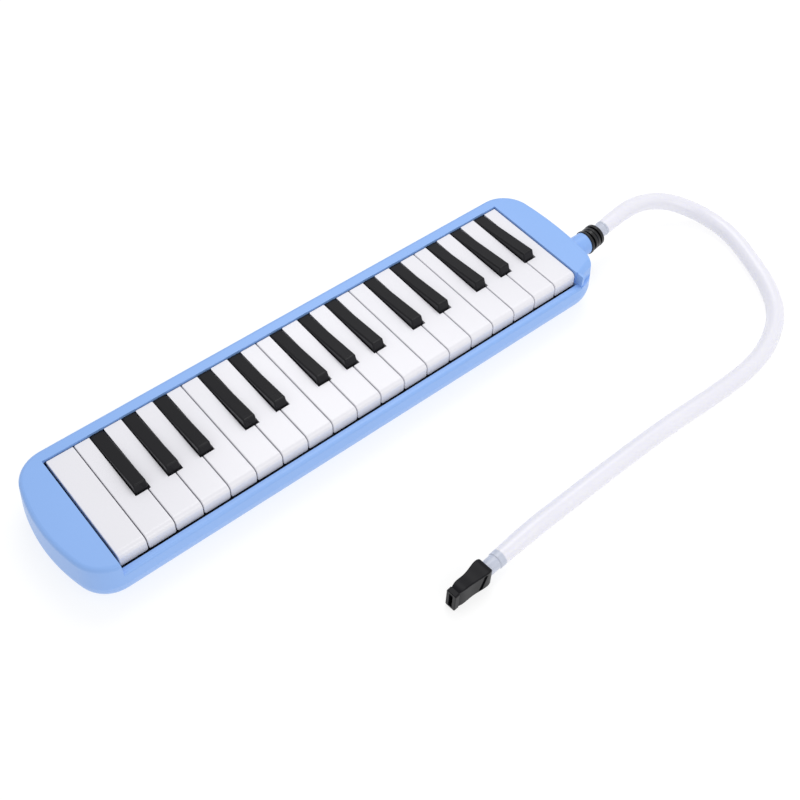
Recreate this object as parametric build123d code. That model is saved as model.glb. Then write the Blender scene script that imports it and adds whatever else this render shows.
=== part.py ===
"""Melodica: a small blown keyboard with free reeds, a hose and a mouthpiece.

Frame: millimetres, +X along the keyboard towards the blow socket, +Y from the key fronts to the
rear, +Z up. The origin is on the underside, below the middle of the instrument without its hose.
Every piece is a solid of its own and each node is written to parts/NODE.step.
"""
import math
import os

from build123d import *

os.makedirs("parts", exist_ok=True)

# ---------------------------------------------------------------- keyboard
WHITE_PITCH = 20.0
WHITE_COUNT = 19
KEY_GAP = 0.35              # half of the gap between two neighbouring white keys
WHITE_TOP = 37.0
KEY_DEPTH = 10.0            # height of a key's side walls
APRON_DEPTH = 11.4          # the front part of a white key reaches lower
APRON_BACK = -20.0
KEY_SKIN = 2.2
KEY_WALL = 1.6
WHITE_FRONT = -45.8
KEY_BACK = 41.8
FRONT_ROUND = 4.0           # rounding of a white key's front top edge
APRON_ROUND = 1.4           # rounding of its front face's lower corners
EDGE_ROUND = 0.7
BLACK_WIDTH = 9.8
BLACK_TOP_WIDTH = 9.0
BLACK_HEIGHT = 6.0          # rise of a black key's front over the white keys
BLACK_REAR_DROP = 0.3       # its top is this far under the white tops at the rear
BLACK_FRONT = -14.2
BLACK_FRONT_LEAN = 2.0
BLACK_ROUND = 1.2
BLACK_SHOULDER = 4.0        # its sides lean in from this far under the white tops
NOTCH_SIDE_GAP = 0.55
NOTCH_FRONT_GAP = 1.2
# Where a black key's middle lies from its joint between two white keys, by the joint's number in
# its octave: the keys of a group of three or of two spread outwards.
BLACK_OFFSETS = {2: -3.5, 3: 0.0, 4: 3.5, 6: -2.0, 0: 2.0}
OCTAVE_WHITES = 7

# ---------------------------------------------------------------- case
CASE_TOP = 38.2
SEAM_Z = 17.5
CASE_LEFT = -223.2
CASE_RIGHT = 211.4
CASE_FRONT = -53.15
CASE_BACK = 53.15
LEFT_LEAN = 1.9             # how far each wall leans in between the seam and the top
RIGHT_LEAN = 1.9
BACK_LEAN = 1.75
FOOT_LEAN = 3.2             # how far the front wall leans in from the seam to the table
CORNER_RADIUS = 24.0
LEFT_END_RADIUS = 125.0
RIGHT_END_RADIUS = 260.0
WALL = 2.4
TOP_ROUND = 3.0
BOTTOM_ROUND = 16.5
LEFT_GAP = 1.5              # between the first key and the opening's side
RIGHT_GAP = 0.3
OPENING_BACK = 42.5
STRIP_Z = 27.7              # top of the low strip in front of the keys
STRIP_INNER = -48.3
STRIP_ROUND = 2.0
STRIP_OVERRUN = 0.8         # the strip's recess runs on this far past the last key
RECESS_BACK = -45.8
SLOPE_NEAR = (187.0, -46.4)  # upper edge of the slope at the right front corner, in plan
SLOPE_FAR = (198.8, -42.8)
SLOPE_SHOULDER = (3.2, 3.4)   # it bends down steeply this far out and down
SLOPE_OUT = 4.6             # how far forwards it runs out while it drops to the strip
SKIRT = 2.0
LIP = 1.0                   # tongue that locates the upper case on the lower one
LIP_HEIGHT = 2.0
LIP_GAP = 0.1

# ---------------------------------------------------------------- blow socket
SOCKET_REACH = 9.7          # how far the socket stands out past the end of the case
SOCKET_Y = -20.5
SOCKET_Z = 27.0
SOCKET_RADIUS = 8.6
SOCKET_BORE = 6.3
SOCKET_FLANGE_RADIUS = 9.3
SOCKET_FLANGE = 1.6
SEAL_RING = 1.5             # thickness of the ring between the socket and the wind tray

SOCKET_TIP = CASE_RIGHT + SOCKET_REACH
KEYS_LEFT = -194.6
KEYS_RIGHT = KEYS_LEFT + WHITE_PITCH * WHITE_COUNT
OPENING_LEFT = KEYS_LEFT - LEFT_GAP
OPENING_RIGHT = KEYS_RIGHT + RIGHT_GAP

# ---------------------------------------------------------------- key action
PIVOT_Y = 22.0
PIVOT_Z = 26.5
ROD_RADIUS = 1.25
ROD_CLEARANCE = 0.05
HUB_RADIUS = 3.2
TAIL_WIDTH = 6.4
RIB_WIDTH = 2.0
RIB_FRONT = 9.0
TAIL_BACK = 49.5
TAIL_FRONT = 19.0
TAIL_BOTTOM = 21.8
TAIL_THICK = 4.0
REAR_SHELL_Z = 31.0         # the shell is shallower over the comb, from REAR_SHELL_Y backwards
REAR_SHELL_Y = 14.0
PAD_Y = 45.5
PAD_LENGTH = 7.0
PAD_THICK = 2.0
COMB_FRONT = 2.0
COMB_BACK = 27.0
COMB_BASE = 2.0
COMB_UPRIGHT = 1.4
COMB_UPRIGHT_LENGTH = 8.0
COMB_TOP = 29.5
ROD_OVERHANG = 1.2

# ---------------------------------------------------------------- wind chamber
TRAY_BOTTOM = 8.5
PLATE_BOTTOM = 14.0
BOARD_BOTTOM = 15.0
BOARD_TOP = 19.0
SEAT_HEIGHT = 0.8
SEAT_WIDTH = 0.8
PORT_RADIUS = 2.4
CELL_WIDTH = 7.0
CELL_DEPTH = 2.8
CELL_FRONT = -10.5
BOARD_FRONT = -14.0
BOARD_BACK = 49.2
TRAY_BACK = 47.4
TRAY_WALL = 1.7
CHAMBER_LEFT = KEYS_LEFT + 3.0
CHAMBER_RIGHT = KEYS_RIGHT - 2.5
TOWER_LEFT = KEYS_RIGHT + 4.2
TOWER_RIGHT = TOWER_LEFT + 10.3
TOWER_FRONT = SOCKET_Y - 9.5
TOWER_BACK = SOCKET_Y + 9.5
TOWER_TOP = 35.0
DUCT_BACK = 2.0
REED_LONG = 40.0
REED_SHORT = 14.0
REED_WIDTH = 2.4
REED_THICK = 0.35
REED_SLOT_GAP = 0.1
REED_ROOT_Y = 38.0
REED_ROOT = 4.0
RIVET_RADIUS = 0.8

# ---------------------------------------------------------------- felts and screws
STOP_RIB_FRONT = -13.0
STOP_RIB_WIDTH = 4.0
BLACK_FELT_TOP = 24.0
WHITE_FELT_TOP = 21.0
FELT = 1.2
WHITE_STOP_FRONT = -46.0
WHITE_STOP_WIDTH = 6.0
STOP_WALL = 2.0
BOARD_SCREW_Y = 4.6
SCREW_RADIUS = 1.0
SCREW_HEAD_RADIUS = 1.7
SCREW_HEAD = 1.2
CASE_SCREW_RADIUS = 1.4
CASE_SCREW_HEAD_RADIUS = 3.0
CASE_SCREW_HEAD = 2.0
CASE_BOSS_RADIUS = 4.6
SCREW_WELL_RADIUS = 3.4
SCREW_SEAT_Z = 9.0
MOUNT_SEAT_Z = 4.5

# ---------------------------------------------------------------- spring comb and drain valve
LEAF = 0.4
LEAF_WIDTH = 3.0
LEAF_TIP_Y = 13.0
LEAF_FOOT_BACK = 7.0
DRAIN_X = KEYS_LEFT + 16.0
DRAIN_Y = 10.0
DRAIN_TRAVEL = 2.0
BUTTON_RADIUS = 4.6
BUTTON_BOTTOM = 0.8
BUTTON_FLANGE = 5.8
STEM_RADIUS = 1.4
DRAIN_HOLE = 2.6
SEAL_RADIUS = 4.2
SEAL_THICK = 1.4
SPRING_RADIUS = 2.7
SPRING_WIRE = 0.3

# ---------------------------------------------------------------- hose and mouthpiece
HOSE_DIAMETER = 13.0
HOSE_BORE = 9.0
HOSE_FLOOR = HOSE_DIAMETER / 2 + 0.1
NECK_Z = 8.6                # the mouthpiece stands on edge and holds the hose's end up
PLUG_LENGTH = 13.3
PLUG_FLANGE = 2.4           # the plug's flange stands square on the socket
PLUG_YAW = 7.0              # beyond it the soft plug leans rearwards and up, with the hose
PLUG_PITCH = 2.5
PLUG_BORE = 4.6
PLUG_STUB = 12.0
ADAPTER_LENGTH = 9.0
ADAPTER_RADIUS = 5.6
TUBE_BORE = 3.4
TUBE_STUB = 12.0
FIT_GAP = 0.05
HOSE_START = PLUG_LENGTH - PLUG_FLANGE + ADAPTER_LENGTH
HOSE_FIRST_RUN = 22.0
NECK_COLLAR = 5.0
NECK_LENGTH = 14.0
NECK_COLLAR_RADIUS = 5.8
NECK_RADIUS = 5.2
NECK_BORE_FIT = 3.95        # radius of the spigot inside the mouthpiece
MOUTH_BOTTOM = -8.45        # underside of the mouthpiece, from the hose's middle line
LIP_PLACE = 27.0            # from the mouthpiece's rear to its lip flange
LIP_SIZE = (3.6, 7.8, 17.0)
# The hose's route after its first run out of the plug: down to the table in a wide turn, and back
# along the keys.
HOSE_ROUTE = [
    (287.3, -13.6, 25.6),
    (311.3, -19.3, 19.5),
    (328.1, -33.7, 12.2),
    (336.7, -53.9, 7.8),
    (336.1, -76.2, HOSE_FLOOR),
    (325.5, -105.1, HOSE_FLOOR),
    (316.5, -126.1, HOSE_FLOOR),
    (299.7, -148.7, HOSE_FLOOR),
    (274.8, -163.0, HOSE_FLOOR),
    (249.0, -170.4, HOSE_FLOOR),
    (212.0, -172.0, HOSE_FLOOR),
    (160.0, -169.6, HOSE_FLOOR),
    (105.0, -170.2, HOSE_FLOOR),
    (50.0, -171.8, HOSE_FLOOR),
    (25.5, -173.2, NECK_Z),
    (-3.2, -175.7, NECK_Z),
]


# ================================================================ helpers
def save(name, shape):
    """Write one node: a solid, or a group of separate solids."""
    solids = shape if isinstance(shape, list) else shape.solids()
    whole = solids[0] if len(solids) == 1 else Compound(children=list(solids))
    whole.label = name
    export_step(whole, f"parts/{name}.step")


def block(x0, x1, y0, y1, z0, z1):
    """A box between two corners."""
    return Pos((x0 + x1) / 2, (y0 + y1) / 2, (z0 + z1) / 2) * Box(x1 - x0, y1 - y0, z1 - z0)


def rod_x(x0, x1, y, z, radius):
    """A round bar along X."""
    return Pos((x0 + x1) / 2, y, z) * Rot(0, 90, 0) * Cylinder(radius, x1 - x0)


def post(x, y, z0, z1, radius):
    """A round bar along Z."""
    return Pos(x, y, (z0 + z1) / 2) * Cylinder(radius, z1 - z0)


def rounded_end(tip, half_y, wide, corner, side):
    """One end of the outline: where its corner arc starts, the arc's middle, and where it stops."""
    centre_x = tip - side * wide
    corner_y = half_y - corner
    reach = math.sqrt((wide - corner) ** 2 - corner_y ** 2)
    lean = math.atan2(corner_y, reach)
    half = (lean + math.pi / 2) / 2
    start_x = centre_x + side * reach
    middle = (start_x + side * corner * math.cos(half), corner_y + corner * math.sin(half))
    stop = (centre_x + side * wide * math.cos(lean), wide * math.sin(lean))
    return start_x, middle, stop


def plan(inset, z):
    """The case's outline seen from above at height z, moved inwards by inset."""
    rise = max(0.0, z - SEAM_Z) / (CASE_TOP - SEAM_Z)
    front = CASE_FRONT + FOOT_LEAN * max(0.0, SEAM_Z - z) / SEAM_Z
    back = CASE_BACK - BACK_LEAN * rise
    half_y = (back - front) / 2 - inset
    ends = [
        (CASE_RIGHT - RIGHT_LEAN * rise - inset, RIGHT_END_RADIUS - inset, 1),
        (CASE_LEFT + LEFT_LEAN * rise + inset, LEFT_END_RADIUS - inset, -1),
    ]
    starts = []
    with BuildLine() as line:
        for tip, wide, side in ends:
            x, middle, stop = rounded_end(tip, half_y, wide, CORNER_RADIUS - inset, side)
            ThreePointArc((x, half_y), middle, stop)
            ThreePointArc(stop, (tip, 0), (stop[0], -stop[1]))
            ThreePointArc((stop[0], -stop[1]), (middle[0], -middle[1]), (x, -half_y))
            starts.append(x)
        for y in (half_y, -half_y):
            Line((starts[0], y), (starts[1], y))
    return Pos(0, (front + back) / 2, z) * make_face(line.line)


def plan_solid(inset, z0, z1):
    """A slab with the case's outline, which is widest at the seam."""
    if z0 < SEAM_Z < z1:
        return plan_solid(inset, z0, SEAM_Z) + plan_solid(inset, SEAM_Z, z1)
    return loft([plan(inset, z0), plan(inset, z1)], ruled=True)


def top_edges(shape, z):
    """The edges of a shape that lie level at height z."""
    return shape.edges().filter_by_position(Axis.Z, z - 0.01, z + 0.01)


# ================================================================ key layout
def black_centres():
    """Middle x of each black key, by the number of the joint between white keys that it covers."""
    return {
        joint: KEYS_LEFT + joint * WHITE_PITCH + BLACK_OFFSETS[joint % OCTAVE_WHITES]
        for joint in range(1, WHITE_COUNT)
        if joint % OCTAVE_WHITES in BLACK_OFFSETS
    }


BLACKS = black_centres()


def white_sides(number):
    """Front width and tail width of a white key: x of its left, tail left, tail right, right."""
    left = KEYS_LEFT + number * WHITE_PITCH + KEY_GAP
    right = left + WHITE_PITCH - 2 * KEY_GAP
    half = BLACK_WIDTH / 2 + NOTCH_SIDE_GAP
    tail_left = BLACKS[number] + half if number in BLACKS else left
    tail_right = BLACKS[number + 1] - half if number + 1 in BLACKS else right
    return left, tail_left, tail_right, right


def tail_centres():
    """Middle x of every key's tail, white and black, from left to right."""
    whites = [(white_sides(n)[1] + white_sides(n)[2]) / 2 for n in range(WHITE_COUNT)]
    return sorted(whites + list(BLACKS.values()))


TAILS = tail_centres()
GAPS = [(a + b) / 2 for a, b in zip(TAILS, TAILS[1:])]
REAR_SCREWS = GAPS[1::6]


# ================================================================ case shells
def screw_places():
    """Where the four case screws stand, in the closed ends of the case."""
    left = KEYS_LEFT - 8.6
    right = KEYS_RIGHT + 8.6
    return [(left, -22.0), (left, 22.0), (right, 8.0), (right, 30.0)]


def chamber_mounts():
    """Where the four screws hold the wind chamber to the lower case's floor."""
    return [(GAPS[i], y) for i in (3, 27) for y in (BOARD_FRONT + 5.0, 27.0)]


def corner_slope():
    """What is cut from the case's right front corner, where its top slopes down to the strip."""
    (x0, y0), (x1, y1) = SLOPE_NEAR, SLOPE_FAR
    run = math.hypot(x1 - x0, y1 - y0)
    along = ((x1 - x0) / run, (y1 - y0) / run, 0)
    drop = CASE_TOP - STRIP_Z
    with BuildSketch() as side:
        with BuildLine():
            out, down = SLOPE_SHOULDER
            Polyline((-5, -5 * down / out), (out, down), (SLOPE_OUT, drop), (30, drop), (30, -20), close=True)
        make_face()
    place = Plane(origin=(x0, y0, CASE_TOP), x_dir=(along[1], -along[0], 0), z_dir=along)
    return extrude(place * side.sketch, amount=30, both=True)


def upper_case():
    shell = plan_solid(0, SEAM_Z, CASE_TOP) - corner_slope()
    shell = fillet(top_edges(shell, CASE_TOP), TOP_ROUND)
    shell -= plan_solid(WALL, SEAM_Z - 1, CASE_TOP - WALL)
    front = CASE_FRONT
    recess_right = OPENING_RIGHT + STRIP_OVERRUN
    corner = block(OPENING_RIGHT, SLOPE_FAR[0] + 8, front, SLOPE_FAR[1] + SKIRT, SEAM_Z + 3, CASE_TOP - 1)
    shell += (corner & plan_solid(WALL - 0.5, SEAM_Z, CASE_TOP)) - corner_slope()
    low = STRIP_Z - WALL
    shell += block(OPENING_LEFT - SKIRT, recess_right + SKIRT, front + 1, STRIP_INNER, low, STRIP_Z)
    for x0 in (OPENING_LEFT - SKIRT, OPENING_RIGHT):
        shell += block(x0, x0 + SKIRT, front + 1, OPENING_BACK, low, CASE_TOP - 1)
    shell += block(OPENING_RIGHT, recess_right + SKIRT, front + 1, RECESS_BACK + SKIRT, low, CASE_TOP - 1)
    shell -= block(OPENING_LEFT, OPENING_RIGHT, STRIP_INNER, OPENING_BACK, STRIP_Z, CASE_TOP + 1)
    shell -= block(OPENING_RIGHT - 1, recess_right, STRIP_INNER, RECESS_BACK, STRIP_Z, CASE_TOP + 1)
    with BuildSketch(Plane.YZ) as corner:
        with BuildLine():
            Polyline(
                (STRIP_INNER + 0.01, CASE_TOP + 1),
                (STRIP_INNER + 0.01, STRIP_Z),
                (front + STRIP_ROUND, STRIP_Z),
            )
            RadiusArc((front + STRIP_ROUND, STRIP_Z), (front, STRIP_Z - STRIP_ROUND), -STRIP_ROUND)
            Polyline(
                (front, STRIP_Z - STRIP_ROUND),
                (front - 1, STRIP_Z - STRIP_ROUND),
                (front - 1, CASE_TOP + 1),
                (STRIP_INNER + 0.01, CASE_TOP + 1),
            )
        make_face()
    cutter = extrude(corner.sketch, amount=recess_right - OPENING_LEFT)
    shell -= Pos(OPENING_LEFT, 0, 0) * cutter
    for x, y in screw_places():
        shell += post(x, y, SEAM_Z, CASE_TOP - WALL + 0.5, CASE_BOSS_RADIUS - 0.6)
        shell -= post(x, y, SEAM_Z - 1, CASE_TOP - WALL - 4, CASE_SCREW_RADIUS)
    flange_end = TOWER_RIGHT + SEAL_RING + SOCKET_FLANGE
    seat = block(flange_end, CASE_RIGHT, SOCKET_Y - 10, SOCKET_Y + 10, SEAM_Z, CASE_TOP - 1)
    shell += seat & plan_solid(WALL - 1, SEAM_Z, CASE_TOP - 1)
    shell -= rod_x(flange_end - 1, SOCKET_TIP, SOCKET_Y, SOCKET_Z, SOCKET_RADIUS + FIT_GAP)
    return shell


def lower_case():
    tray = plan_solid(0, 0, SEAM_Z)
    tray = fillet(top_edges(tray, 0), BOTTOM_ROUND)
    hollow = plan_solid(WALL, WALL, SEAM_Z + 1)
    hollow = fillet(top_edges(hollow, WALL), BOTTOM_ROUND - WALL)
    tray -= hollow
    lip = plan_solid(WALL + LIP_GAP, SEAM_Z - LIP_HEIGHT, SEAM_Z + LIP_HEIGHT)
    lip -= plan_solid(WALL + LIP_GAP + LIP, SEAM_Z - LIP_HEIGHT - 1, SEAM_Z + LIP_HEIGHT + 1)
    step = plan_solid(WALL - 0.5, SEAM_Z - LIP_HEIGHT, SEAM_Z - 0.5)
    step -= plan_solid(WALL + LIP_GAP + LIP, SEAM_Z - LIP_HEIGHT - 1, SEAM_Z)
    lip -= block(TOWER_LEFT, CASE_RIGHT, SOCKET_Y - 11, SOCKET_Y + 11, SEAM_Z - 0.1, SEAM_Z + 5)
    tray += lip + step
    stop = block(KEYS_LEFT, KEYS_RIGHT, -42.0, -42.0 + STOP_WALL, WALL, WHITE_FELT_TOP - FELT)
    stop += block(
        KEYS_LEFT,
        KEYS_RIGHT,
        WHITE_STOP_FRONT,
        WHITE_STOP_FRONT + WHITE_STOP_WIDTH,
        WHITE_FELT_TOP - FELT - 1.5,
        WHITE_FELT_TOP - FELT,
    )
    tray += stop
    for x, y in screw_places():
        tray += post(x, y, 1, SEAM_Z, CASE_BOSS_RADIUS)
        tray -= post(x, y, -1, SCREW_SEAT_Z, SCREW_WELL_RADIUS)
        tray -= post(x, y, 0, SEAM_Z + 1, CASE_SCREW_RADIUS + 0.2)
    for x, y in chamber_mounts():
        tray += post(x, y, 1, TRAY_BOTTOM, CASE_BOSS_RADIUS)
        tray -= post(x, y, -1, MOUNT_SEAT_Z, SCREW_WELL_RADIUS)
        tray -= post(x, y, 0, TRAY_BOTTOM + 1, CASE_SCREW_RADIUS + 0.2)
    tray -= post(DRAIN_X, DRAIN_Y, -1, WALL + 1, BUTTON_RADIUS + 0.4)
    bevel = Pos(DRAIN_X, DRAIN_Y, 0.5) * Cone(BUTTON_RADIUS + 2.4, BUTTON_RADIUS + 0.4, 1.0)
    return tray - bevel


def case_screws():
    return [
        post(x, y, SCREW_SEAT_Z - CASE_SCREW_HEAD, SCREW_SEAT_Z, CASE_SCREW_HEAD_RADIUS)
        + post(x, y, SCREW_SEAT_Z, CASE_TOP - WALL - 6, CASE_SCREW_RADIUS)
        for x, y in screw_places()
    ]


def chamber_screws():
    return [
        post(x, y, MOUNT_SEAT_Z - CASE_SCREW_HEAD, MOUNT_SEAT_Z, CASE_SCREW_HEAD_RADIUS)
        + post(x, y, MOUNT_SEAT_Z, PLATE_BOTTOM - 1.5, CASE_SCREW_RADIUS)
        for x, y in chamber_mounts()
    ]


def white_stop_felt():
    back = WHITE_STOP_FRONT + WHITE_STOP_WIDTH
    return block(KEYS_LEFT, KEYS_RIGHT, WHITE_STOP_FRONT, back, WHITE_FELT_TOP - FELT, WHITE_FELT_TOP)


# ================================================================ blow socket
def blow_socket():
    inner = TOWER_RIGHT + SEAL_RING
    body = rod_x(inner, SOCKET_TIP, SOCKET_Y, SOCKET_Z, SOCKET_RADIUS)
    body = chamfer(body.edges().group_by(Axis.X)[-1], 0.4)
    flange = rod_x(inner, inner + SOCKET_FLANGE, SOCKET_Y, SOCKET_Z, SOCKET_FLANGE_RADIUS)
    flat = SOCKET_RADIUS
    body += flange & block(inner, inner + 5, SOCKET_Y - 10, SOCKET_Y + 10, SOCKET_Z - flat, SOCKET_Z + flat)
    return body - rod_x(inner - 1, SOCKET_TIP + 1, SOCKET_Y, SOCKET_Z, SOCKET_BORE)


def socket_seal():
    ring = rod_x(TOWER_RIGHT, TOWER_RIGHT + SEAL_RING, SOCKET_Y, SOCKET_Z, SOCKET_RADIUS)
    return ring - rod_x(TOWER_RIGHT - 1, TOWER_RIGHT + 3, SOCKET_Y, SOCKET_Z, SOCKET_BORE)


# ================================================================ wind chamber
def wind_tray():
    """The lower half of the chamber, with the duct and the turret that meet the blow socket."""
    tray = block(CHAMBER_LEFT, CHAMBER_RIGHT, BOARD_FRONT, TRAY_BACK, TRAY_BOTTOM, PLATE_BOTTOM)
    duct_left = CHAMBER_RIGHT - TRAY_WALL
    tray += block(duct_left, TOWER_RIGHT, TOWER_FRONT, DUCT_BACK, TRAY_BOTTOM, PLATE_BOTTOM)
    tray += block(TOWER_LEFT, TOWER_RIGHT, TOWER_FRONT, TOWER_BACK, TRAY_BOTTOM, TOWER_TOP)
    floor = TRAY_BOTTOM + TRAY_WALL
    wall = TRAY_WALL
    front, duct_back, duct_top = BOARD_FRONT + wall, DUCT_BACK - wall, PLATE_BOTTOM - 1.2
    left, right = CHAMBER_LEFT + wall, CHAMBER_RIGHT - wall
    tower_front, tower_right = TOWER_FRONT + wall, TOWER_RIGHT - wall
    tray -= block(left, right, front, TRAY_BACK - wall, floor, PLATE_BOTTOM + 1)
    tray -= block(duct_left - 0.1 + wall, tower_right, tower_front, duct_back, floor, duct_top)
    tray -= block(right - wall, TOWER_LEFT, front, duct_back, floor, duct_top)
    tray -= block(TOWER_LEFT + wall, tower_right, tower_front, TOWER_BACK - wall, floor, TOWER_TOP - wall)
    tray -= rod_x(TOWER_RIGHT - 2 * wall, TOWER_RIGHT + 1, SOCKET_Y, SOCKET_Z, SOCKET_BORE)
    for x, y in chamber_mounts():
        tray += post(x, y, TRAY_BOTTOM, PLATE_BOTTOM - 1, 3.0)
        tray -= post(x, y, TRAY_BOTTOM - 1, PLATE_BOTTOM - 1.5, CASE_SCREW_RADIUS)
    for x in REAR_SCREWS:
        tray += post(x, BOARD_SCREW_Y, TRAY_BOTTOM, PLATE_BOTTOM, 2.0)
        tray -= post(x, BOARD_SCREW_Y, floor, PLATE_BOTTOM + 1, SCREW_RADIUS)
    return tray - post(DRAIN_X, DRAIN_Y, TRAY_BOTTOM - 1, floor + 1, DRAIN_HOLE)


def reed_length(number):
    """Reeds grow from the far end of the keyboard to the blow end."""
    return REED_SHORT + (REED_LONG - REED_SHORT) * number / (len(TAILS) - 1)


def reed_plate():
    plate = block(CHAMBER_LEFT, CHAMBER_RIGHT, BOARD_FRONT, TRAY_BACK, PLATE_BOTTOM, BOARD_BOTTOM)
    half = REED_WIDTH / 2 + REED_SLOT_GAP
    for number, x in enumerate(TAILS):
        front = REED_ROOT_Y - reed_length(number) - REED_SLOT_GAP
        plate -= block(x - half, x + half, front, REED_ROOT_Y, PLATE_BOTTOM - 1, BOARD_BOTTOM + 1)
    for x in REAR_SCREWS:
        plate -= post(x, BOARD_SCREW_Y, PLATE_BOTTOM - 1, BOARD_BOTTOM + 1, SCREW_RADIUS)
    return plate


def reeds():
    """One brass tongue under each slot, thinned nowhere, with its root under the rivet."""
    half = REED_WIDTH / 2
    return [
        block(
            x - half,
            x + half,
            REED_ROOT_Y - reed_length(number),
            REED_ROOT_Y + REED_ROOT,
            PLATE_BOTTOM - REED_THICK,
            PLATE_BOTTOM,
        )
        - post(x, REED_ROOT_Y + REED_ROOT / 2, PLATE_BOTTOM - 1, PLATE_BOTTOM + 1, RIVET_RADIUS)
        for number, x in enumerate(TAILS)
    ]


def reed_rivets():
    y = REED_ROOT_Y + REED_ROOT / 2
    low = PLATE_BOTTOM - REED_THICK
    return [
        post(x, y, low - 0.4, low, RIVET_RADIUS + 0.4) + post(x, y, low, PLATE_BOTTOM, RIVET_RADIUS)
        for x in TAILS
    ]


def valve_board():
    """The chamber's upper half: one cell over each reed, a port and a raised seat under each pad."""
    board = block(CHAMBER_LEFT, CHAMBER_RIGHT, BOARD_FRONT, BOARD_BACK, BOARD_BOTTOM, BOARD_TOP)
    for x in TAILS:
        board -= block(
            x - CELL_WIDTH / 2,
            x + CELL_WIDTH / 2,
            CELL_FRONT,
            PAD_Y + PORT_RADIUS,
            BOARD_BOTTOM - 1,
            BOARD_BOTTOM + CELL_DEPTH,
        )
        seat = post(x, PAD_Y, BOARD_TOP - 0.5, BOARD_TOP + SEAT_HEIGHT, PORT_RADIUS + SEAT_WIDTH)
        board += seat
        board -= post(x, PAD_Y, BOARD_BOTTOM, BOARD_TOP + 2, PORT_RADIUS)
    rib_back = STOP_RIB_FRONT + STOP_RIB_WIDTH
    rib_top = BLACK_FELT_TOP - FELT
    board += block(CHAMBER_LEFT, CHAMBER_RIGHT, STOP_RIB_FRONT, rib_back, BOARD_TOP - 1, rib_top)
    for x in REAR_SCREWS:
        board -= post(x, BOARD_SCREW_Y, BOARD_BOTTOM - 1, BOARD_TOP + 1, SCREW_RADIUS)
    return board


def black_stop_felt():
    back = STOP_RIB_FRONT + STOP_RIB_WIDTH
    return block(CHAMBER_LEFT, CHAMBER_RIGHT, STOP_RIB_FRONT, back, BLACK_FELT_TOP - FELT, BLACK_FELT_TOP)


# ================================================================ key action
def key_comb():
    """The bearing comb: a base on the valve board and an upright in each gap between the keys."""
    top = BOARD_TOP + COMB_BASE
    ends = [TAILS[0] - TAIL_WIDTH / 2 - 1.5, TAILS[-1] + TAIL_WIDTH / 2 + 1.5]
    comb = block(ends[0] - COMB_UPRIGHT, ends[1] + COMB_UPRIGHT, COMB_FRONT, COMB_BACK, BOARD_TOP, top)
    for x in GAPS + ends:
        comb += block(
            x - COMB_UPRIGHT / 2,
            x + COMB_UPRIGHT / 2,
            PIVOT_Y - COMB_UPRIGHT_LENGTH / 2,
            PIVOT_Y + COMB_UPRIGHT_LENGTH / 2,
            BOARD_TOP + 1,
            COMB_TOP,
        )
    comb -= rod_x(ends[0] - 5, ends[1] + 5, PIVOT_Y, PIVOT_Z, ROD_RADIUS + ROD_CLEARANCE)
    for x in REAR_SCREWS:
        comb -= post(x, BOARD_SCREW_Y, BOARD_TOP - 1, top + 1, SCREW_RADIUS)
    return comb


def key_rod():
    left = TAILS[0] - TAIL_WIDTH / 2 - 1.5 - ROD_OVERHANG
    right = TAILS[-1] + TAIL_WIDTH / 2 + 1.5 + ROD_OVERHANG
    return rod_x(left, right, PIVOT_Y, PIVOT_Z, ROD_RADIUS)


def key_springs():
    """One bronze strip with a leaf for each key, pressing up under the key's rib."""
    low = BOARD_TOP + COMB_BASE
    strip = block(CHAMBER_LEFT, CHAMBER_RIGHT, COMB_FRONT, LEAF_FOOT_BACK, low, low + LEAF)
    tip = WHITE_TOP - KEY_DEPTH - 0.1
    with BuildSketch(Plane.YZ) as side:
        with BuildLine():
            Polyline(
                (LEAF_FOOT_BACK - 0.5, low),
                (LEAF_FOOT_BACK, low),
                (LEAF_TIP_Y - 2, tip - LEAF),
                (LEAF_TIP_Y, tip - LEAF),
                (LEAF_TIP_Y, tip),
                (LEAF_TIP_Y - 2.2, tip),
                (LEAF_FOOT_BACK - 0.2, low + LEAF),
                (LEAF_FOOT_BACK - 0.5, low + LEAF),
                close=True,
            )
        make_face()
    leaf = extrude(side.sketch, amount=LEAF_WIDTH)
    for x in TAILS:
        strip += Pos(x - LEAF_WIDTH / 2, 0, 0) * leaf
    for x in REAR_SCREWS:
        strip -= post(x, BOARD_SCREW_Y, low - 1, low + 1, SCREW_RADIUS)
    return strip


def board_screws():
    """Screws that clamp the spring strip, comb, valve board and reed plate down on the tray."""
    head = BOARD_TOP + COMB_BASE + LEAF
    return [
        post(x, BOARD_SCREW_Y, head, head + SCREW_HEAD, SCREW_HEAD_RADIUS)
        + post(x, BOARD_SCREW_Y, TRAY_BOTTOM + TRAY_WALL, head, SCREW_RADIUS)
        for x in REAR_SCREWS
    ]


def key_tail(x):
    """The hub, the rib that joins it to the key's skin, and the lever that carries the pad."""
    half = TAIL_WIDTH / 2
    skin = WHITE_TOP - KEY_SKIN
    tail = rod_x(x - half, x + half, PIVOT_Y, PIVOT_Z, HUB_RADIUS)
    tail += block(x - half, x + half, TAIL_FRONT, TAIL_BACK, TAIL_BOTTOM, TAIL_BOTTOM + TAIL_THICK)
    left, right = x - RIB_WIDTH / 2, x + RIB_WIDTH / 2
    tail += block(left, right, RIB_FRONT, KEY_BACK - 1, WHITE_TOP - KEY_DEPTH, skin + 0.5)
    tail += block(left, right, PIVOT_Y, KEY_BACK - 1, TAIL_BOTTOM + 1, skin)
    return tail


def bore(x):
    return rod_x(x - WHITE_PITCH, x + WHITE_PITCH, PIVOT_Y, PIVOT_Z, ROD_RADIUS + ROD_CLEARANCE)


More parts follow.
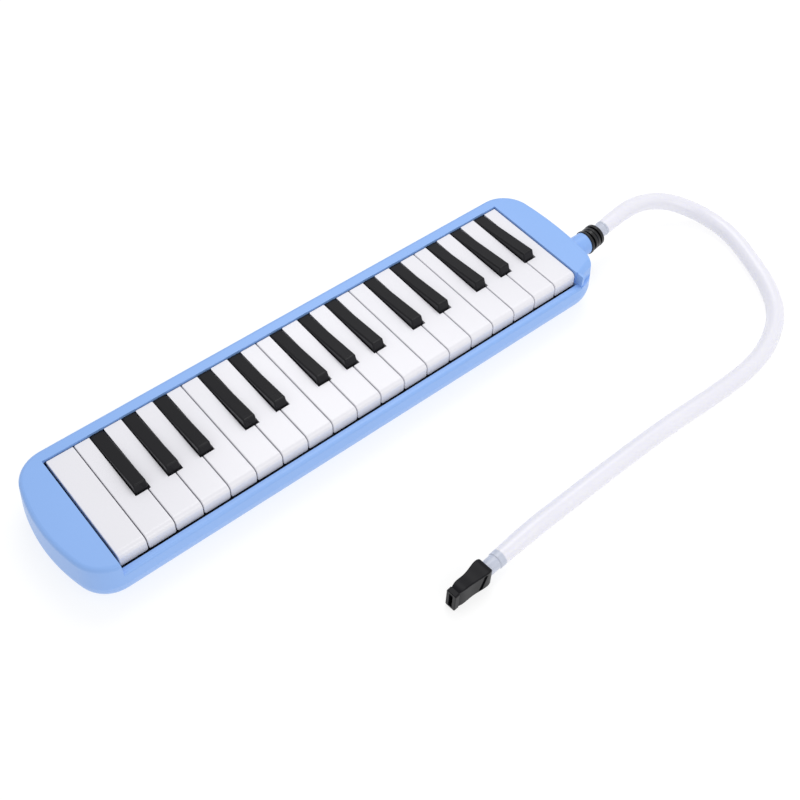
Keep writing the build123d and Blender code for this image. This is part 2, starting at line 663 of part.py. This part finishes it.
def pad(x):
    half = TAIL_WIDTH / 2
    y0 = PAD_Y - PAD_LENGTH / 2
    return block(x - half, x + half, y0, y0 + PAD_LENGTH, TAIL_BOTTOM - PAD_THICK, TAIL_BOTTOM)


def white_plan(number, inset):
    """A white key seen from above: full width in front, notched beside its black keys."""
    left, tail_left, tail_right, right = white_sides(number)
    notch = BLACK_FRONT - NOTCH_FRONT_GAP
    front, back = WHITE_FRONT + inset, KEY_BACK - inset
    points = [(left + inset, front), (right - inset, front)]
    if tail_right < right:
        points += [(right - inset, notch - inset), (tail_right - inset, notch - inset)]
    points += [(tail_right - inset, back), (tail_left + inset, back)]
    if tail_left > left:
        points += [(tail_left + inset, notch - inset), (left + inset, notch - inset)]
    return make_face(Polyline(*points, close=True))


def white_body(number):
    """A white key before it is hollowed: rounded over its front, its sides and its corners."""
    low = WHITE_TOP - APRON_DEPTH
    left, tail_left, tail_right, right = white_sides(number)
    key = extrude(Pos(0, 0, low) * white_plan(number, 0), amount=APRON_DEPTH)
    key = fillet(top_edges(key, WHITE_TOP).sort_by(Axis.Y)[0], FRONT_ROUND)
    key -= block(KEYS_LEFT - 5, KEYS_RIGHT + 5, APRON_BACK, KEY_BACK + 1, low - 1, WHITE_TOP - KEY_DEPTH)
    outer = [edge for edge in top_edges(key, low).filter_by(Axis.Y)]
    key = fillet(outer, APRON_ROUND)
    sides = [
        edge
        for edge in key.edges()
        if min(abs(edge.center().X - left), abs(edge.center().X - right)) < 0.5 * APRON_ROUND
        and (edge.center().Z > WHITE_TOP - FRONT_ROUND or edge.center().Y < WHITE_FRONT + 0.01)
        and not (edge.center().Y > BLACK_FRONT and abs(edge.tangent_at(0.5).Z) > 0.9)
        and abs(edge.tangent_at(0.5).X) < 0.9
    ]
    key = fillet(sides, EDGE_ROUND)
    rear = key.edges().filter_by(Axis.Z).group_by(Axis.Y)[-1]
    return fillet(rear, EDGE_ROUND)


def white_key(number):
    bottom = WHITE_TOP - KEY_DEPTH
    key = white_body(number)
    key -= extrude(Pos(0, 0, bottom - 5) * white_plan(number, KEY_WALL), amount=KEY_DEPTH - KEY_SKIN + 5)
    key -= block(KEYS_LEFT - 5, KEYS_RIGHT + 5, REAR_SHELL_Y, KEY_BACK + 1, bottom - 1, REAR_SHELL_Z)
    tail = (white_sides(number)[1] + white_sides(number)[2]) / 2
    key += key_tail(tail)
    return [key - bore(tail), pad(tail)]


def upper_edges(key):
    """The edges round a black key's sloping top and down its front, without the bend across the front."""
    low = WHITE_TOP - BLACK_SHOULDER + 0.3
    edges = [edge for edge in key.edges() if edge.center().Z > low and edge.center().Y < KEY_BACK - 1]
    return [
        edge
        for edge in edges
        if abs(edge.tangent_at(0.5).X) < 0.9 or abs(edge.center().Z - WHITE_TOP) > 0.2
    ]


def black_key(x):
    bottom = WHITE_TOP - KEY_DEPTH
    top = WHITE_TOP + BLACK_HEIGHT
    half = BLACK_WIDTH / 2
    with BuildSketch(Plane.YZ) as side:
        with BuildLine():
            Polyline(
                (BLACK_FRONT, bottom),
                (BLACK_FRONT, WHITE_TOP),
                (BLACK_FRONT + BLACK_FRONT_LEAN, top),
                (KEY_BACK, WHITE_TOP - BLACK_REAR_DROP),
                (KEY_BACK, bottom),
                close=True,
            )
        make_face()
    with BuildSketch(Plane.XZ) as across:
        with BuildLine():
            Polyline(
                (-half, bottom),
                (half, bottom),
                (half, WHITE_TOP - BLACK_SHOULDER),
                (BLACK_TOP_WIDTH / 2, top),
                (-BLACK_TOP_WIDTH / 2, top),
                (-half, WHITE_TOP - BLACK_SHOULDER),
                close=True,
            )
        make_face()
    key = Pos(x - half, 0, 0) * extrude(side.sketch, amount=BLACK_WIDTH)
    key &= Pos(x, 0, 0) * extrude(across.sketch, amount=80, both=True)
    key = fillet(upper_edges(key), BLACK_ROUND)
    key -= block(
        x - half + KEY_WALL,
        x + half - KEY_WALL,
        BLACK_FRONT + KEY_WALL,
        KEY_BACK - KEY_WALL,
        bottom - 1,
        WHITE_TOP - KEY_SKIN,
    )
    key -= block(x - half - 1, x + half + 1, REAR_SHELL_Y, KEY_BACK + 1, bottom - 1, REAR_SHELL_Z)
    key += key_tail(x)
    return [key - bore(x), pad(x)]


# ================================================================ drain valve
def drain_button():
    """The push button under the case, with the stem that lifts the seal off the tray's floor."""
    button = post(DRAIN_X, DRAIN_Y, BUTTON_BOTTOM, WALL + 1.6, BUTTON_RADIUS)
    button = fillet(button.edges().group_by(Axis.Z)[0], 0.6)
    button += post(DRAIN_X, DRAIN_Y, WALL + 0.1, WALL + 1.2, BUTTON_FLANGE)
    return button + post(DRAIN_X, DRAIN_Y, WALL + 1.2, TRAY_BOTTOM + TRAY_WALL + SEAL_THICK, STEM_RADIUS)


def drain_seal():
    low = TRAY_BOTTOM + TRAY_WALL
    seal = post(DRAIN_X, DRAIN_Y, low, low + SEAL_THICK, SEAL_RADIUS)
    return seal - post(DRAIN_X, DRAIN_Y, low - 1, low + SEAL_THICK + 1, STEM_RADIUS)


def drain_spring():
    low = WALL + 1.6 + SPRING_WIRE + 0.05
    height = TRAY_BOTTOM - SPRING_WIRE - 0.05 - low
    path = Helix(pitch=height / 3, height=height, radius=SPRING_RADIUS)
    section = Plane(origin=path @ 0, z_dir=path % 0) * Circle(SPRING_WIRE)
    return Pos(DRAIN_X, DRAIN_Y, low) * sweep(section, path=path, is_frenet=True)


# ================================================================ hose set
def turned(profile, place):
    """Turn a closed profile of (x, radius) points about the X axis of a place."""
    with BuildSketch() as sketch:
        with BuildLine():
            Polyline(*profile, close=True)
        make_face()
    return place * revolve(sketch.sketch, Axis.X)


def plug_axis():
    """Where the plug's leaning part starts, with local +X along it."""
    return Location((SOCKET_TIP + PLUG_FLANGE, SOCKET_Y, SOCKET_Z), (0, -PLUG_PITCH, PLUG_YAW))


def hose_plug():
    """Rubber plug: a tapered stub in the socket, a flange on it, and three leaning rings."""
    stub = [
        (-PLUG_STUB, PLUG_BORE), (-PLUG_STUB, SOCKET_BORE - 0.6), (0, SOCKET_BORE - FIT_GAP), (0, 8.9),
        (0.4, 9.3), (PLUG_FLANGE - 0.5, 9.2), (PLUG_FLANGE, 8.6), (PLUG_FLANGE, PLUG_BORE),
    ]
    rings = [
        (-1.0, PLUG_BORE), (-1.0, 7.2), (1.0, 7.2), (1.4, 8.7), (3.6, 8.7), (3.9, 8.2), (4.3, 8.2),
        (4.6, 8.7), (6.4, 8.6), (6.8, 7.0), (7.6, 7.0), (8.0, 8.8), (10.4, 8.7), (10.9, 8.2),
        (10.9, PLUG_BORE),
    ]
    straight = Location((SOCKET_TIP, SOCKET_Y, SOCKET_Z))
    plug = turned(stub, straight) + turned(rings, plug_axis())
    return plug - plug_axis() * rod_x(-1.5, 13, 0, 0, PLUG_BORE)


def hose_adapter():
    """Clear tube that joins the plug to the hose."""
    plug_end = PLUG_LENGTH - PLUG_FLANGE
    collar = ADAPTER_RADIUS + 0.3
    profile = [
        (plug_end - TUBE_STUB, TUBE_BORE), (plug_end - TUBE_STUB, PLUG_BORE - FIT_GAP),
        (plug_end, PLUG_BORE - FIT_GAP), (plug_end, ADAPTER_RADIUS - 0.2), (plug_end + 0.4, ADAPTER_RADIUS),
        (HOSE_START - 1.6, ADAPTER_RADIUS), (HOSE_START - 1.2, collar), (HOSE_START, collar),
        (HOSE_START, HOSE_BORE / 2 - FIT_GAP), (HOSE_START + TUBE_STUB, HOSE_BORE / 2 - 0.4),
        (HOSE_START + TUBE_STUB, TUBE_BORE),
    ]
    return turned(profile, plug_axis())


def hose_points():
    """The whole route: straight out of the plug, then on along HOSE_ROUTE."""
    first = [plug_axis() * Pos(along, 0, 0) for along in (HOSE_START, HOSE_START + HOSE_FIRST_RUN)]
    return [place.position for place in first] + [Vector(*point) for point in HOSE_ROUTE]


def route_radii(points):
    """The largest arc that the two runs at each corner allow."""
    radii = []
    for a, b, c in zip(points, points[1:], points[2:]):
        before, after = b - a, c - b
        turn = math.radians(before.get_angle(after))
        radii.append(0.45 * min(before.length, after.length) / math.tan(turn / 2))
    return radii


def blow_hose():
    """The hose as runs joined by tangent arcs, with its bore."""
    points = hose_points()
    radii = route_radii(points)
    path = FilletPolyline(*points, radius=radii)
    start = Plane(origin=path @ 0, z_dir=path % 0)
    outer = sweep(start * Circle(HOSE_DIAMETER / 2), path=path)
    inner = sweep(start * Circle(HOSE_BORE / 2), path=path)
    hose = outer - inner
    section = math.pi / 4 * (HOSE_DIAMETER ** 2 - HOSE_BORE ** 2)
    for point in points:
        print("hose point", [round(value, 2) for value in (point.X, point.Y, point.Z)])
    print("hose radii", [round(r) for r in radii], "in diameters", round(min(radii) / HOSE_DIAMETER, 2))
    print("hose length", round(path.length, 1), "volume ratio", round(hose.volume / section / path.length, 4))
    return hose


def mouth_end():
    """The place and heading of the hose's far end: local +X runs on towards the lips."""
    a, b = HOSE_ROUTE[-2], HOSE_ROUTE[-1]
    heading = math.degrees(math.atan2(b[1] - a[1], b[0] - a[0]))
    return Location(b, (0, 0, heading))


def mouthpiece_neck():
    """Clear stepped tube between the hose and the mouthpiece."""
    spigot, tip = NECK_BORE_FIT, NECK_LENGTH + 8
    profile = [
        (-TUBE_STUB, TUBE_BORE), (-TUBE_STUB, HOSE_BORE / 2 - 0.4), (0, HOSE_BORE / 2 - FIT_GAP),
        (0, NECK_COLLAR_RADIUS), (NECK_COLLAR - 0.6, NECK_COLLAR_RADIUS), (NECK_COLLAR, NECK_RADIUS),
        (NECK_LENGTH, NECK_RADIUS), (NECK_LENGTH, spigot), (tip, spigot), (tip, 2.8),
        (0, TUBE_BORE),
    ]
    return turned(profile, mouth_end())


def mouth_section(along, wide, tall, corner):
    """A section of the mouthpiece that stands on the table beside the hose."""
    middle = MOUTH_BOTTOM + tall / 2
    place = Plane(origin=(NECK_LENGTH + along, 0, middle), x_dir=(0, 1, 0), z_dir=(1, 0, 0))
    return place * RectangleRounded(wide, tall, corner)


def mouthpiece():
    """A bill standing on edge: a body that narrows forwards, a lip flange and a tall slot."""
    stations = [(0.0, 11.0, 15.8), (1.5, 12.0, 16.6), (8.0, 11.2, 16.8), (17.0, 8.8, 16.9)]
    stations.append((LIP_PLACE + 0.5, 5.8, 16.7))
    body = loft([mouth_section(*station, 0.8) for station in stations])
    lip = extrude(mouth_section(LIP_PLACE, LIP_SIZE[1], LIP_SIZE[2], 1.0), amount=LIP_SIZE[0])
    body += fillet(lip.edges().group_by(Axis.X)[-1], 0.5)
    body -= rod_x(NECK_LENGTH - 1, NECK_LENGTH + 18, 0, 0, NECK_BORE_FIT + FIT_GAP)
    body -= block(NECK_LENGTH + 12, NECK_LENGTH + LIP_PLACE + 6, -1.5, 1.5, -6.8, 6.8)
    for side in (-1, 1):
        groove = Pos(NECK_LENGTH + 7.2, side * 6.0, 0) * Rot(0, -14, 0) * Box(2.8, 3.0, 15.0)
        body -= fillet(groove.edges().filter_by(Axis.Y), 1.25)
    return mouth_end() * body


# ================================================================ write the nodes
save("upper_case", upper_case())
save("lower_case", lower_case())
save("case_screws", case_screws())
save("chamber_screws", chamber_screws())
save("white_stop_felt", white_stop_felt())
save("black_stop_felt", black_stop_felt())
save("blow_socket", blow_socket())
save("socket_seal", socket_seal())
save("wind_tray", wind_tray())
save("reed_plate", reed_plate())
save("reeds", reeds())
save("reed_rivets", reed_rivets())
save("valve_board", valve_board())
save("key_comb", key_comb())
save("key_rod", key_rod())
save("key_springs", key_springs())
save("board_screws", board_screws())
save("drain_button", drain_button())
save("drain_seal", drain_seal())
save("drain_spring", drain_spring())
for white in range(WHITE_COUNT):
    save(f"white_key_{white + 1:02d}", white_key(white))
for count, joint in enumerate(sorted(BLACKS), start=1):
    save(f"black_key_{count:02d}", black_key(BLACKS[joint]))
save("hose_plug", hose_plug())
save("hose_adapter", hose_adapter())
save("blow_hose", blow_hose())
save("mouthpiece_neck", mouthpiece_neck())
save("mouthpiece", mouthpiece())
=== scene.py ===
import bpy
from mathutils import Matrix, Vector


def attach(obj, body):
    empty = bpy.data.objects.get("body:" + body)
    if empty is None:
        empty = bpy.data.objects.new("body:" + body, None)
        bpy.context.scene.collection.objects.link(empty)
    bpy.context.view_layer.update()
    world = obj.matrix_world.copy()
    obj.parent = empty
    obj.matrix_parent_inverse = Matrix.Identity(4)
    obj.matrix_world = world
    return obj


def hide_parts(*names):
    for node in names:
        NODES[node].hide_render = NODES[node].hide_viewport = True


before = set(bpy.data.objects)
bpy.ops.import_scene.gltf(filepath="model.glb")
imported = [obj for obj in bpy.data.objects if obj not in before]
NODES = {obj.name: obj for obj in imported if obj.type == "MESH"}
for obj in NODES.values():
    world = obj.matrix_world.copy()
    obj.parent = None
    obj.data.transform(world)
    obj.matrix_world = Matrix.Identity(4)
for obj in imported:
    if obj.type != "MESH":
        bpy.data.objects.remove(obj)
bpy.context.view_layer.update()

# Camera: its place in metres, its axes and its lens in millimetres.
CAMERA_PLACE = (-0.30028, -0.41604, 0.64036)
CAMERA_RIGHT = (0.77446, -0.63214, 0.02466)
CAMERA_UP = (0.48498, 0.61830, 0.61847)
CAMERA_BACK = (-0.40621, -0.46702, 0.78542)
LENS = 52.5
SENSOR = 36.0
NEAREST_SEEN = 0.01

# Studio: a white world, a pale floor that glows a little, and two soft lights. The floor is just
# under the object, so that it never meets the flat underside of the case.
WORLD_STRENGTH = 0.72
FLOOR_HALF = 6.0
FLOOR_DROP = 0.0002
FLOOR_SHADE = 0.3
FLOOR_GLOW = 0.74
FLOOR_ROUGHNESS = 0.9
FLOOR_SPECULAR = 0.2
AIM = (0.05, -0.05, 0.0)
LIGHTS = {
    "key_light": {"place": (0.55, 0.45, 1.4), "size": (0.9, 0.9), "power": 8.0},
    "fill_light": {"place": (0.25, -1.3, 0.9), "size": (1.2, 0.8), "power": 5.0},
}


# ---------------------------------------------------------------- camera, floor and lights
def add_camera():
    data = bpy.data.cameras.new("camera")
    data.sensor_width = SENSOR
    data.lens = LENS
    data.clip_start = NEAREST_SEEN
    camera = bpy.data.objects.new("camera", data)
    bpy.context.scene.collection.objects.link(camera)
    turn = Matrix((CAMERA_RIGHT, CAMERA_UP, CAMERA_BACK)).transposed().to_4x4()
    camera.matrix_world = Matrix.Translation(CAMERA_PLACE) @ turn
    bpy.context.scene.camera = camera


def add_light(name, place, size, power):
    data = bpy.data.lights.new(name, "AREA")
    data.shape = "RECTANGLE"
    data.size, data.size_y = size
    data.energy = power
    light = bpy.data.objects.new(name, data)
    bpy.context.scene.collection.objects.link(light)
    light.location = place
    light.rotation_euler = (Vector(AIM) - Vector(place)).to_track_quat("-Z", "Y").to_euler()


def add_floor():
    ends = ((-1, -1), (1, -1), (1, 1), (-1, 1))
    corners = [(FLOOR_HALF * x, FLOOR_HALF * y, -FLOOR_DROP) for x, y in ends]
    mesh = bpy.data.meshes.new("floor")
    mesh.from_pydata(corners, [], [(0, 1, 2, 3)])
    floor = bpy.data.objects.new("floor", mesh)
    bpy.context.scene.collection.objects.link(floor)
    material, _, surface = shader("floor_paint")
    surface.inputs["Base Color"].default_value = (FLOOR_SHADE, FLOOR_SHADE, FLOOR_SHADE, 1)
    surface.inputs["Roughness"].default_value = FLOOR_ROUGHNESS
    surface.inputs["Specular IOR Level"].default_value = FLOOR_SPECULAR
    surface.inputs["Emission Color"].default_value = (1, 1, 1, 1)
    surface.inputs["Emission Strength"].default_value = FLOOR_GLOW
    floor.data.materials.append(material)


def add_studio():
    scene = bpy.context.scene
    scene.view_settings.view_transform = "Standard"
    world = bpy.data.worlds.new("studio")
    scene.world = world
    world.use_nodes = True
    background = world.node_tree.nodes["Background"]
    background.inputs["Color"].default_value = (1, 1, 1, 1)
    background.inputs["Strength"].default_value = WORLD_STRENGTH
    add_floor()
    for name, light in LIGHTS.items():
        add_light(name, **light)


# ---------------------------------------------------------------- materials
def shader(name):
    material = bpy.data.materials.new(name)
    material.use_nodes = True
    tree = material.node_tree
    return material, tree, tree.nodes["Principled BSDF"]


# Noise scales are per metre. The broad noise mottles colour and gloss, the fine one is the skin.
BROAD_SCALE = 14.0
BROAD_DETAIL = 3.0
FINE_DETAIL = 2.0
GLOSS_SPREAD = 0.05
SKIN_DEPTH = 0.0002
SOFT_RADIUS = (0.004, 0.004, 0.005)
MILKY_CLEARNESS = 0.25
FELT_SKIN = {"grain": 0.6, "scale": 2500.0}
WHITE_SKIN = {"tint": 0.01, "grain": 0.01}
BLACK_SKIN = {"tint": 0.1, "specular": 0.22}


def moulded(name, color, rough, tint=0.03, grain=0.02, scale=900.0, specular=0.5, soft=0.0):
    """Moulded plastic: a faint mottle in colour and gloss, and a fine skin texture."""
    material, tree, surface = shader(name)
    nodes, links = tree.nodes, tree.links
    place = nodes.new("ShaderNodeTexCoord")
    broad = nodes.new("ShaderNodeTexNoise")
    broad.inputs["Scale"].default_value = BROAD_SCALE
    broad.inputs["Detail"].default_value = BROAD_DETAIL
    fine = nodes.new("ShaderNodeTexNoise")
    fine.inputs["Scale"].default_value = scale
    fine.inputs["Detail"].default_value = FINE_DETAIL
    for noise in (broad, fine):
        links.new(place.outputs["Object"], noise.inputs["Vector"])
    ramp = nodes.new("ShaderNodeMix")
    ramp.data_type = "RGBA"
    ramp.inputs["A"].default_value = (*[c * (1 - tint) for c in color], 1)
    ramp.inputs["B"].default_value = (*[min(1.0, c * (1 + tint)) for c in color], 1)
    links.new(broad.outputs["Fac"], ramp.inputs["Factor"])
    links.new(ramp.outputs["Result"], surface.inputs["Base Color"])
    gloss = nodes.new("ShaderNodeMapRange")
    gloss.inputs["To Min"].default_value = rough - GLOSS_SPREAD
    gloss.inputs["To Max"].default_value = rough + GLOSS_SPREAD
    links.new(broad.outputs["Fac"], gloss.inputs["Value"])
    links.new(gloss.outputs["Result"], surface.inputs["Roughness"])
    bump = nodes.new("ShaderNodeBump")
    bump.inputs["Strength"].default_value = grain
    bump.inputs["Distance"].default_value = SKIN_DEPTH
    links.new(fine.outputs["Fac"], bump.inputs["Height"])
    links.new(bump.outputs["Normal"], surface.inputs["Normal"])
    surface.inputs["Specular IOR Level"].default_value = specular
    if soft:
        surface.inputs["Subsurface Weight"].default_value = soft
        surface.inputs["Subsurface Radius"].default_value = SOFT_RADIUS
    return material


def metal(name, color, rough):
    material = moulded(name, color, rough, tint=0.05, grain=0.05, scale=1500.0)
    material.node_tree.nodes["Principled BSDF"].inputs["Metallic"].default_value = 1.0
    return material


def milky(name, color, rough):
    """Clear plastic that lets some light through."""
    material = moulded(name, color, rough, tint=0.02, grain=0.01)
    surface = material.node_tree.nodes["Principled BSDF"]
    surface.inputs["Transmission Weight"].default_value = MILKY_CLEARNESS
    return material


def paint(material, *names):
    """Give CAD nodes a material."""
    for name in names:
        for entry in NODES[name].material_slots:
            entry.link = "OBJECT"
            entry.material = material


# ---------------------------------------------------------------- hose
HOSE_DIAMETER = 0.013
HOSE_END_TAPER = 0.9
HOSE_COLOUR = (0.79, 0.785, 0.85)
HOSE_ROUGHNESS = 0.28
HOSE_SOFTNESS = 0.3
HOSE_ROUTE = [
    (0.24323, -0.01807, 0.02786), (0.26505, -0.01539, 0.02881), (0.2873, -0.0136, 0.0256),
    (0.3113, -0.0193, 0.0195), (0.3281, -0.0337, 0.0122), (0.3367, -0.0539, 0.0078),
    (0.3361, -0.0762, 0.0066), (0.3255, -0.1051, 0.0066), (0.3165, -0.1261, 0.0066),
    (0.2997, -0.1487, 0.0066), (0.2748, -0.1630, 0.0066), (0.2490, -0.1704, 0.0066),
    (0.2120, -0.1720, 0.0066), (0.1600, -0.1696, 0.0066), (0.1050, -0.1702, 0.0066),
    (0.0500, -0.1718, 0.0066), (0.0255, -0.1732, 0.0086), (-0.0032, -0.1757, 0.0086),
]


def add_hose():
    curve = bpy.data.curves.new("hose", "CURVE")
    curve.dimensions = "3D"
    spline = curve.splines.new("NURBS")
    spline.points.add(len(HOSE_ROUTE) - 1)
    for point, place in zip(spline.points, HOSE_ROUTE):
        point.co = (*place, 1)
    for end in (0, -1):
        spline.points[end].radius = HOSE_END_TAPER
    spline.order_u = 3
    spline.use_endpoint_u = True
    spline.resolution_u = 12
    curve.bevel_depth = HOSE_DIAMETER / 2
    curve.bevel_resolution = 8
    curve.use_fill_caps = True
    hose = bpy.data.objects.new("hose", curve)
    bpy.context.scene.collection.objects.link(hose)
    plastic = moulded("hose_plastic", HOSE_COLOUR, HOSE_ROUGHNESS, grain=0.01, soft=HOSE_SOFTNESS)
    hose.data.materials.append(plastic)
    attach(hose, "melodica")
    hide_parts("blow_hose")


# ---------------------------------------------------------------- put it together
CASE = ["upper_case", "lower_case", "blow_socket"]
CHAMBER = ["wind_tray", "valve_board", "drain_button"]
FELTS = ["white_stop_felt", "black_stop_felt"]
SCREWS = ["case_screws", "chamber_screws", "board_screws"]
WHITE_KEYS = [name for name in NODES if name.startswith("white_key")]
BLACK_KEYS = [name for name in NODES if name.startswith("black_key")]
# Maker, name, colour, roughness, other settings, and the CAD nodes that wear it.
FINISHES = [
    (moulded, "case_plastic", (0.245, 0.43, 0.83), 0.34, {"grain": 0.03}, CASE),
    (moulded, "white_key_plastic", (0.78, 0.775, 0.82), 0.22, WHITE_SKIN, WHITE_KEYS),
    (moulded, "black_key_plastic", (0.007, 0.007, 0.009), 0.28, BLACK_SKIN, BLACK_KEYS),
    (moulded, "plug_rubber", (0.004, 0.004, 0.005), 0.25, {"specular": 0.5}, ["hose_plug"]),
    (moulded, "mouthpiece_plastic", (0.005, 0.005, 0.007), 0.4, {"specular": 0.14}, ["mouthpiece"]),
    (milky, "clear_plastic", (0.66, 0.70, 0.82), 0.3, {}, ["hose_adapter", "mouthpiece_neck"]),
    (moulded, "tray_plastic", (0.3, 0.32, 0.36), 0.6, {}, CHAMBER),
    (moulded, "comb_plastic", (0.7, 0.7, 0.68), 0.5, {}, ["key_comb"]),
    (moulded, "felt", (0.03, 0.032, 0.04), 0.9, FELT_SKIN, FELTS),
    (moulded, "seal_rubber", (0.02, 0.02, 0.022), 0.7, {}, ["socket_seal", "drain_seal"]),
    (metal, "reed_plate_metal", (0.75, 0.75, 0.77), 0.3, {}, ["reed_plate"]),
    (metal, "reed_brass", (0.78, 0.58, 0.25), 0.3, {}, ["reeds", "reed_rivets"]),
    (metal, "spring_bronze", (0.70, 0.48, 0.25), 0.35, {}, ["key_springs"]),
    (metal, "screw_steel", (0.55, 0.56, 0.58), 0.3, {}, SCREWS),
    (metal, "rod_steel", (0.6, 0.61, 0.63), 0.25, {}, ["key_rod", "drain_spring"]),
]


def colour_nodes():
    for maker, name, color, rough, settings, nodes in FINISHES:
        paint(maker(name, color, rough, **settings), *nodes)


add_camera()
add_studio()
add_hose()
colour_nodes()
